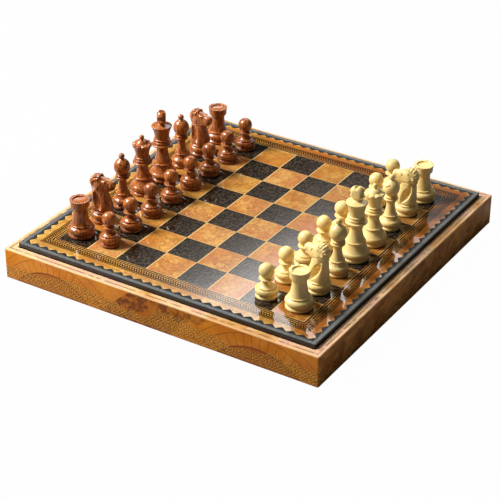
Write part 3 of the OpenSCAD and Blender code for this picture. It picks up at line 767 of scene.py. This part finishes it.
BISHOP = (foot(10.8) + sweep((9.1, 10.4), (7.4, 11.8), (6.7, 14.2)) + bead(7.4, 15.2, 0.8)
          + sweep((6.5, 16.2), (4.4, 20), (4.1, 27)) + sweep((4.1, 27), (4.3, 30.6), (5.2, 31.6))
          + bead(7.2, 32.8, 1) + [(5, 33.9)] + bead(6.6, 35.5, 0.9) + [(4.7, 36.6)]
          + sweep((4.6, 37.6), (8.2, 39), (8.2, 44.4)) + sweep((8.2, 44.4), (8, 49.6), (2.6, 52.6))
          + [(1.9, 53.2)] + arc(0, 55.6, 3, -52, 90))
ROOK = (foot(13.2) + [(11, 11)] + bead(10.4, 12.4, 0.8) + sweep((9.4, 13.5), (7.1, 19), (6.9, 27.6))
        + sweep((6.9, 27.6), (7.2, 31), (8.6, 31.8)) + [(9.2, 32), (9.2, 33.2)]
        + sweep((9.2, 33.2), (9.3, 36), (9.9, 39.3)) + [(7.0, 39.3), (6.5, 37.9), (0, 37.4)])
PAWN = (foot(10.9) + [(8.7, 9.8)] + bead(8.4, 11, 0.7) + sweep((7.3, 11.9), (4.4, 13.4), (3.8, 17.6))
        + [(4, 18.2), (6.4, 18.9)] + bead(7.2, 19.7, 0.6) + [(4.2, 20.8), (3.9, 21.2)]
        + arc(0, 27.5, 7.3, -60, 90, 18))
KNIGHT_FOOT = foot(11.9) + [(9.8, 10.6)] + bead(10.2, 11.6, 0.7) + [(9.2, 12.4), (8.6, 13.2), (0, 13.2)]


# ------ the turned men

SIDES = 80
CREASE = 50
# the rows from the front to the back, and each man's turn about the vertical in degrees
WING = ("rook", "knight", "bishop")
DARK_ROW = WING + ("queen", "king") + WING[::-1]
LIGHT_ROW = WING + ("king", "queen") + WING[::-1]
DARK_TURN = (90, 6, 0, 0, 122, 120, -8, 20)
LIGHT_TURN = (0, 172, 122, 2, 0, 212, 186, 30)
# how far the men stand off the middles of their squares
DARK_STAND, LIGHT_STAND = (-3.5, 2), (0.5, 2)
FINIAL_R, NOTCH_R, FINIAL_SIDES = 7.3, 2.4, 128


def fitted(points, height, width):
    """An outline stretched to a man's own height and foot diameter, its corners eased."""
    reach, high = (max(column) for column in zip(*points))
    return [tuple(p) for p in rounded([(r * width / 2 / reach, z * height / high) for r, z in points])]


def coronet(radius, height, angle):
    """The queen's rim: nine rounded petals, cut in and down more and more towards the top."""
    petals, low, high, inside, tall, cut_down = 9, 51.5, 55.3, 8.6, 3.5, 1.1
    if low < height < high and radius > inside:
        cut = (1 - abs(cos(petals / 2 * angle)) ** 0.7) * (height - low) / tall
        return radius - cut, height - cut_down * cut
    return radius, height


def battlements(radius, height, angle):
    """The rook's rim: six small V cuts from the outer edge."""
    rim_low, rim_top, rim_in, cup_r, half_wide, cut_in, cut_down = 36.6, 39.3, 8.3, 7, 0.9, 0.35, 0.7
    if height > rim_low and radius > cup_r:
        near = min(abs((angle - k * pi / 3 + pi) % (2 * pi) - pi) for k in range(6))
        cut = max(0.0, 1 - near * radius / half_wide) if radius > rim_in else 0.0
        return radius - cut_in * cut, min(height, rim_top - cut_down * cut)
    return radius, height


def notch_limit(angle):
    """How far from its centre the king's finial reaches at an angle: four round notches on the rim."""
    delta = abs((degrees(angle) - 45) % 90 - 45)
    delta = radians(45 - delta if delta > 45 else delta)
    side = NOTCH_R ** 2 - (FINIAL_R * sin(delta)) ** 2
    return FINIAL_R * cos(delta) - sqrt(side) if side > 0 else FINIAL_R


def finial(height):
    """A thick domed disc on edge, facing along Y; its outline is (radius, distance from the middle)."""
    face = [(0, -4.4), (1.5, -4.4), (3.0, -4.4), (4.4, -4.35), (5.3, -3.9), (6.1, -3.3), (6.7, -2.7),
            (7.1, -1.8), (7.3, -0.7)]
    outline = face + [(r, -t) for r, t in reversed(face)]

    def shape(radius, thick, angle):
        return min(radius, notch_limit(angle)), thick

    verts, faces = lathe(outline, FINIAL_SIDES, shape)
    centre = height - FINIAL_R
    return [(x, -z, centre + y) for x, y, z in verts], faces


def surface_net(field, low, high, step):
    """Quads round the zero level of field(x, y, z), which is negative inside; all in mm."""
    axes = [np.arange(a, b + step, step) for a, b in zip(low, high)]
    value = field(*np.meshgrid(*axes, indexing="ij"))
    inside = value < 0
    cells = tuple(n - 1 for n in value.shape)

    def corner(source, c):
        return source[tuple(slice(c[d], c[d] + cells[d]) for d in range(3))]

    # each cell that the surface passes gets a point, the mean of the crossings on its edges
    total, count = np.zeros(cells + (3,)), np.zeros(cells)
    for a in np.ndindex(2, 2, 2):
        for d in range(3):
            if a[d]:
                continue
            b = a[:d] + (1,) + a[d + 1:]
            va, vb = corner(value, a), corner(value, b)
            crossed = corner(inside, a) != corner(inside, b)
            share = np.where(crossed, va / np.where(crossed, va - vb, 1), 0)
            for e in range(3):
                total[..., e] += np.where(crossed, a[e] + (share if e == d else 0), 0)
            count += crossed
    active = count > 0
    number = -np.ones(cells, int)
    number[active] = np.arange(active.sum())
    verts = np.argwhere(active) + total[active] / count[active][:, None]
    verts = verts * step + np.array([a[0] for a in axes])
    # each grid edge that crosses it gives a face between the four cells round that edge
    faces = []
    for d in range(3):
        here, there = [slice(1, -1)] * 3, [slice(1, -1)] * 3
        here[d], there[d] = slice(0, -1), slice(1, None)
        first, second = inside[tuple(here)], inside[tuple(there)]
        for found, flip in ((first & ~second, False), (~first & second, True)):
            place = np.argwhere(found) + np.array([0 if q == d else 1 for q in range(3)])
            quad = []
            for back in ((-1, -1), (0, -1), (0, 0), (-1, 0)):
                cell = place.copy()
                cell[:, [(d + 1) % 3, (d + 2) % 3]] += back
                quad.append(number[tuple(cell.T)])
            quad = np.stack(quad[::-1] if flip else quad, 1)
            faces += quad[(quad >= 0).all(1)].tolist()
    return verts.tolist(), faces


# sections of the horse: of the neck at heights, of the head at places along it; each with the
# middle, half depth (half height) and half width
NECK = np.array([(12.4, 0.1, 9.3, 8.8), (15.5, 0.3, 9.8, 8.8), (20, 0.2, 9.6, 8.2),
                 (25, -0.4, 8.9, 7.2), (30, -1.1, 8.2, 6.1), (34, -1.5, 7.8, 5.4), (39, -1.6, 7.6, 5.0)])
HEAD = np.array([(-10.3, 40, 5.0, 3.2), (-9.2, 40.2, 7.6, 4.6), (-6, 40.4, 8.3, 5.4),
                 (-2, 40.2, 8.3, 5.8), (2, 39.8, 7.8, 5.7), (6, 39.7, 6.8, 5.0), (10, 40.0, 5.9, 4.2),
                 (13, 40.5, 5.2, 3.9), (15.0, 40.9, 3.6, 3.0)])


def eased(table):
    """The table's columns against its first, resampled and with their bends eased."""
    step, ease = 0.1, 4.0
    place = np.arange(table[0, 0], table[-1, 0] + step / 2, step)
    window = np.hanning(int(ease / step) | 1)
    half = len(window) // 2
    columns = [np.interp(place, table[:, 0], table[:, k]) for k in (1, 2, 3)]
    return place, [np.convolve(np.pad(c, half, "edge"), window / window.sum(), "valid") for c in columns]


def horse(x, y, z):
    """The knight's horse as a field, negative inside the wood: neck, level head, then the carving.
    Both halves are alike. Places and radii are in mm, leans in degrees, and the last number of a
    blend is the width over which two forms run together."""
    def block(along, across, side, table, power):
        place, columns = eased(table)
        middle, deep, wide = (np.interp(along, place, column) for column in columns)
        reach = (np.abs((across - middle) / deep) ** power + np.abs(side / wide) ** power) ** (1 / power)
        ends = np.maximum(table[0, 0] - along, along - table[-1, 0])
        return blend(-((reach - 1) * np.minimum(deep, wide)), -ends, -0.8)

    def blend(a, b, k):
        """Smooth union for k above 0; with negated fields and k below 0 a smooth cut."""
        if k < 0:
            return -blend(a, b, -k)
        h = np.clip(0.5 + 0.5 * (b - a) / k, 0, 1)
        return b * (1 - h) + a * h - k * h * (1 - h)

    def ball(cx, cy, cz, rx, ry, rz, lean=0.0):
        c, sn = cos(radians(lean)), sin(radians(lean))
        dx, dz = x - cx, z - cz
        u, w = c * dx - sn * dz, sn * dx + c * dz
        return (np.sqrt((u / rx) ** 2 + ((flat - cy) / ry) ** 2 + (w / rz) ** 2) - 1) * min(rx, ry, rz)

    def spindle(cx, cy, cz, lean, inward, radius, length):
        """A leaf-shaped cutter: its axis leans back by lean and in by inward, in degrees."""
        lean, inward = radians(lean), radians(inward)
        axis = np.array([-sin(lean), -sin(inward), cos(lean)])
        axis /= np.linalg.norm(axis)
        dx, dy, dz = x - cx, flat - cy, z - cz
        t = dx * axis[0] + dy * axis[1] + dz * axis[2]
        r = np.sqrt(np.maximum(dx ** 2 + dy ** 2 + dz ** 2 - t ** 2, 0))
        bow = (length ** 2 / 4 - radius ** 2) / (2 * radius)
        return np.sqrt(t ** 2 + (r + bow) ** 2) - (bow + radius)

    flat = np.abs(y)
    body = blend(block(z, x, y, NECK, 2.9), block(x, z, y, HEAD, 2.7), 0.5)
    # cheek, brow, muzzle
    body = blend(body, ball(-1.6, 3.9, 38.2, 5.0, 2.5, 5.6, 12), 0.8)
    body = blend(body, ball(5.0, 3.5, 44.6, 2.6, 1.7, 1.2, -14), 0.5)
    body = blend(body, ball(13.0, 2.0, 41.4, 2.2, 2.3, 2.6, 0), 0.8)
    # ears, and locks of mane over the crest and down the back
    body = blend(body, ball(0.2, 2.9, 47.2, 1.5, 1.2, 3.0, -14), 0.4)
    for k in range(6):
        around = 78 + 22 * k
        c, sn = cos(radians(around)), sin(radians(around))
        body = blend(body, ball(-3.0 + 6.9 * c, 1.2, 41.2 + 7.3 * sn, 1.75, 3.3, 1.75), 0.35)
        body = blend(body, ball(-2.6 + 4.6 * c, 4.5, 41.0 + 5.0 * sn, 2.3, 1.5, 1.0, around + 24), 0.3)
    # cuts: long leaf in the neck, jaw groove, ribs of the mane, mouth, nostril, eye
    cuts = [
        (spindle(-1.8, 7.3, 24.2, 24, 8, 4.1, 21.5), 0.25),
        (spindle(8.6, 8.6, 23.5, -14, 12, 2.2, 17), 0.5),
        (spindle(1.6, 6.7, 36.3, -82, 2, 1.7, 15), 0.3),
        (spindle(3.4, 6.6, 39.8, -76, 3, 1.2, 11), 0.3),
        (ball(13.2, 3.6, 38.0, 4.2, 2.4, 0.55, 10), 0.15),
        (ball(14.2, 3.9, 42.4, 0.9, 0.9, 0.7), 0.15),
        (ball(5.6, 5.5, 43.2, 1.9, 1.2, 1.2, -10), 0.25),
    ]
    for cutter, k in cuts:
        body = blend(-body, cutter, -k)
    for height in (33.6, 36.2, 38.8):
        rib = np.exp(-((z - height + 0.1 * (x + 9)) / 0.55) ** 2)
        body = body + 0.8 * rib * np.clip((-3 - x) / 1.5, 0, 1)
    body = blend(body, ball(5.8, 4.6, 43.1, 1.1, 0.8, 0.9), 0.1)
    return body


def joined(*parts):
    verts, faces = [], []
    for part_verts, part_faces in parts:
        base = len(verts)
        verts += part_verts
        faces += [tuple(base + k for k in face) for face in part_faces]
    return verts, faces


def cut_slab(mesh, centre, tilt, size):
    """Saws a slanting slot into a mesh."""
    target = in_scene("slot_target", mesh)
    bpy.ops.mesh.primitive_cube_add(size=1)
    cutter = bpy.context.object
    cutter.scale = [v * MM for v in size]
    cutter.location = [v * MM for v in centre]
    cutter.rotation_euler = (0, radians(tilt), 0)
    saw = target.modifiers.new("saw", "BOOLEAN")
    saw.operation = "DIFFERENCE"
    saw.object = cutter
    bpy.context.view_layer.update()
    graph = bpy.context.evaluated_depsgraph_get()
    made = bpy.data.meshes.new_from_object(target.evaluated_get(graph))
    bpy.data.objects.remove(target)
    bpy.data.objects.remove(cutter)
    return made


# outline, height of the turned part, foot diameter, sides, and what reshapes the turning
TURNED = {"king": (KING, 64.6, 27.6, SIDES, None), "queen": (QUEEN, 64, 27, 144, coronet),
          "bishop": (BISHOP, 58.5, 21.6, SIDES, None), "knight": (KNIGHT_FOOT, 13.2, 23.8, SIDES, None),
          "rook": (ROOK, 39.3, 26.4, 180, battlements), "pawn": (PAWN, 34.8, 21.8, SIDES, None)}
KING_HEIGHT = 77


def man_mesh(kind):
    outline, height, width, sides, shape = TURNED[kind]
    parts = lathe(fitted(outline, height, width), sides, shape)
    if kind == "king":
        parts = joined(parts, finial(KING_HEIGHT))
    if kind == "knight":
        net = surface_net(horse, low=(-13, -11, 11.6), high=(17.5, 11, 51.5), step=0.36)
        parts = joined(parts, net)
    mesh = mm_mesh("turned_" + kind, *parts)
    if kind == "bishop":
        mesh = cut_slab(mesh, centre=(5.4, 0, 47), tilt=32, size=(8, 20, 1.3))
    return mesh


def place_men():
    meshes = {}
    for colour, row, turns, stand, back, front in (
            ("dark", DARK_ROW, DARK_TURN, DARK_STAND, 0, 1),
            ("light", LIGHT_ROW, LIGHT_TURN, LIGHT_STAND, 7, 6)):
        for j, kind in enumerate(row):
            single = kind in ("king", "queen")
            name = f"{colour}_{kind}" + ("" if single else f"_{1 + 2 * j // SQUARES}")
            for man, shape, file, turn in ((name, kind, back, turns[j]),
                                           (f"{colour}_pawn_{j + 1}", "pawn", front, 0)):
                key = (shape, colour)
                if key not in meshes:
                    meshes[key] = man_mesh(shape)
                x = (file - (SQUARES - 1) / 2) * SQUARE + stand[0]
                y = (j - (SQUARES - 1) / 2) * SQUARE + stand[1]
                place = Matrix.Translation((x * MM, y * MM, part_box(man)[0].z))
                place = place @ Matrix.Rotation(radians(turn), 4, "Z")
                add_piece(man + "_turned", meshes[key], colour + "_wood", man + "_body", man, CREASE, place)


# ------ lights, camera, floor

BOARD_MIDDLE = Vector((0, 0, 0.04))


def area_light(name, azimuth, elevation, distance, width, height, power):
    """A soft window that faces the board; azimuth runs from +Y towards -X, sizes are in metres."""
    lamp = bpy.data.lights.new(name, "AREA")
    lamp.shape = "RECTANGLE"
    lamp.size, lamp.size_y, lamp.energy = width, height, power
    a, e = radians(azimuth), radians(elevation)
    holder = in_scene(name, lamp)
    holder.location = (-sin(a) * cos(e) * distance, cos(a) * cos(e) * distance,
                       sin(e) * distance)
    holder.rotation_euler = (BOARD_MIDDLE - holder.location).to_track_quat("-Z", "Y").to_euler()
    return holder


def lamps():
    back = area_light("back_window", azimuth=18, elevation=51, distance=1.7, width=1.1, height=1.15,
                      power=8)
    back.visible_glossy = False
    area_light("left_window", azimuth=112, elevation=46, distance=1.7, width=0.7, height=0.65, power=53)


def camera():
    """The photograph's view, solved from the corners of case and board: place in metres, angles in
    degrees, focal length in pixels of the picture's width."""
    place, yaw, pitch, roll = (0.761466, -1.216736, 0.840208), 32.244, 30.379, 0.094
    focal_px, frame_px, sensor = 1664.68, 500, 36.0
    data = bpy.data.cameras.new("camera")
    data.sensor_width = sensor
    data.lens = focal_px / frame_px * sensor
    data.clip_end = 20
    turn = Matrix.Identity(4)
    for angle, axis in ((yaw, "Z"), (90 - pitch, "X"), (roll, "Z")):
        turn = turn @ Matrix.Rotation(radians(angle), 4, axis)
    holder = in_scene("camera", data)
    holder.matrix_world = Matrix.Translation(place) @ turn
    SCENE.camera = holder


def pale_floor():
    """White to the camera, as in the photograph; grey to everything else."""
    half, below, grey, white_share = 6000, -0.0002, (0.34, 0.34, 0.34), 0.985
    s = Shader("floor")
    diffuse, glow = s.node("BsdfDiffuse", grey), s.node("Emission", WHITE)
    share = s.mul(s.node("LightPath").outputs["Is Camera Ray"], white_share)
    blend = s.node("MixShader", share, diffuse.outputs[0], glow.outputs[0])
    s.node("OutputMaterial", blend.outputs[0])
    corners = [(-half, -half, 0), (half, -half, 0), (half, half, 0), (-half, half, 0)]
    floor = in_scene("floor", mm_mesh("floor", corners, [(0, 1, 2, 3)]))
    floor.location.z = below
    floor.data.materials.append(s.mat)


def studio_world():
    """White to the camera and nearly dark to the scene, but gloss mirrors a bright wall behind the
    board. Angles are in degrees; azimuth runs from +Y towards -X."""
    strength, dim, dark = 5.0, 0.04, 0.02
    foot, climb, near, turned, fall = 31.4, 1.25, 29.5, 32.0, 0.5
    middle, full, gone, full_rise, gone_rise = 22, 22, 47, 36, 56
    world = bpy.data.worlds.new("world")
    w = Nodes(world)
    x, y, z = w.split(w.node("TexCoord").outputs["Generated"])
    rise = w.m("DEGREES", w.m("ARCSINE", z))
    turn = w.m("DEGREES", w.m("ARCTAN2", w.mul(x, -1.0), y))
    # it fades out downwards, the more the farther left, and softly to both sides and above
    power = w.sub(w.mul(w.sub(rise, foot), climb), w.mul(w.sub(w.both(turn, near), turned), fall))
    glow = w.m("EXPONENT", w.m("MINIMUM", power, 0.0))
    sides = w.remap(w.size(w.sub(turn, middle)), full, gone, 1, 0)
    above = w.remap(rise, full_rise, gone_rise, 1, 0)
    wall = w.add(w.mul(w.mul(glow, w.mul(sides, above)), strength), dark)
    path = w.node("LightPath")
    glossy = path.outputs["Is Glossy Ray"]
    seen = w.both(path.outputs["Is Camera Ray"], w.mul(glossy, wall))
    light = w.both(seen, w.mul(w.sub(1.0, glossy), dim))
    w.node("OutputWorld", w.node("Background", WHITE, light).outputs[0])
    SCENE.world = world
    SCENE.view_settings.view_transform = "Standard"


make_materials()
dress_cad()
case_wrap()
edge_band()
scalloped_border()
dice_pips()
place_men()
camera()
pale_floor()
studio_world()
lamps()
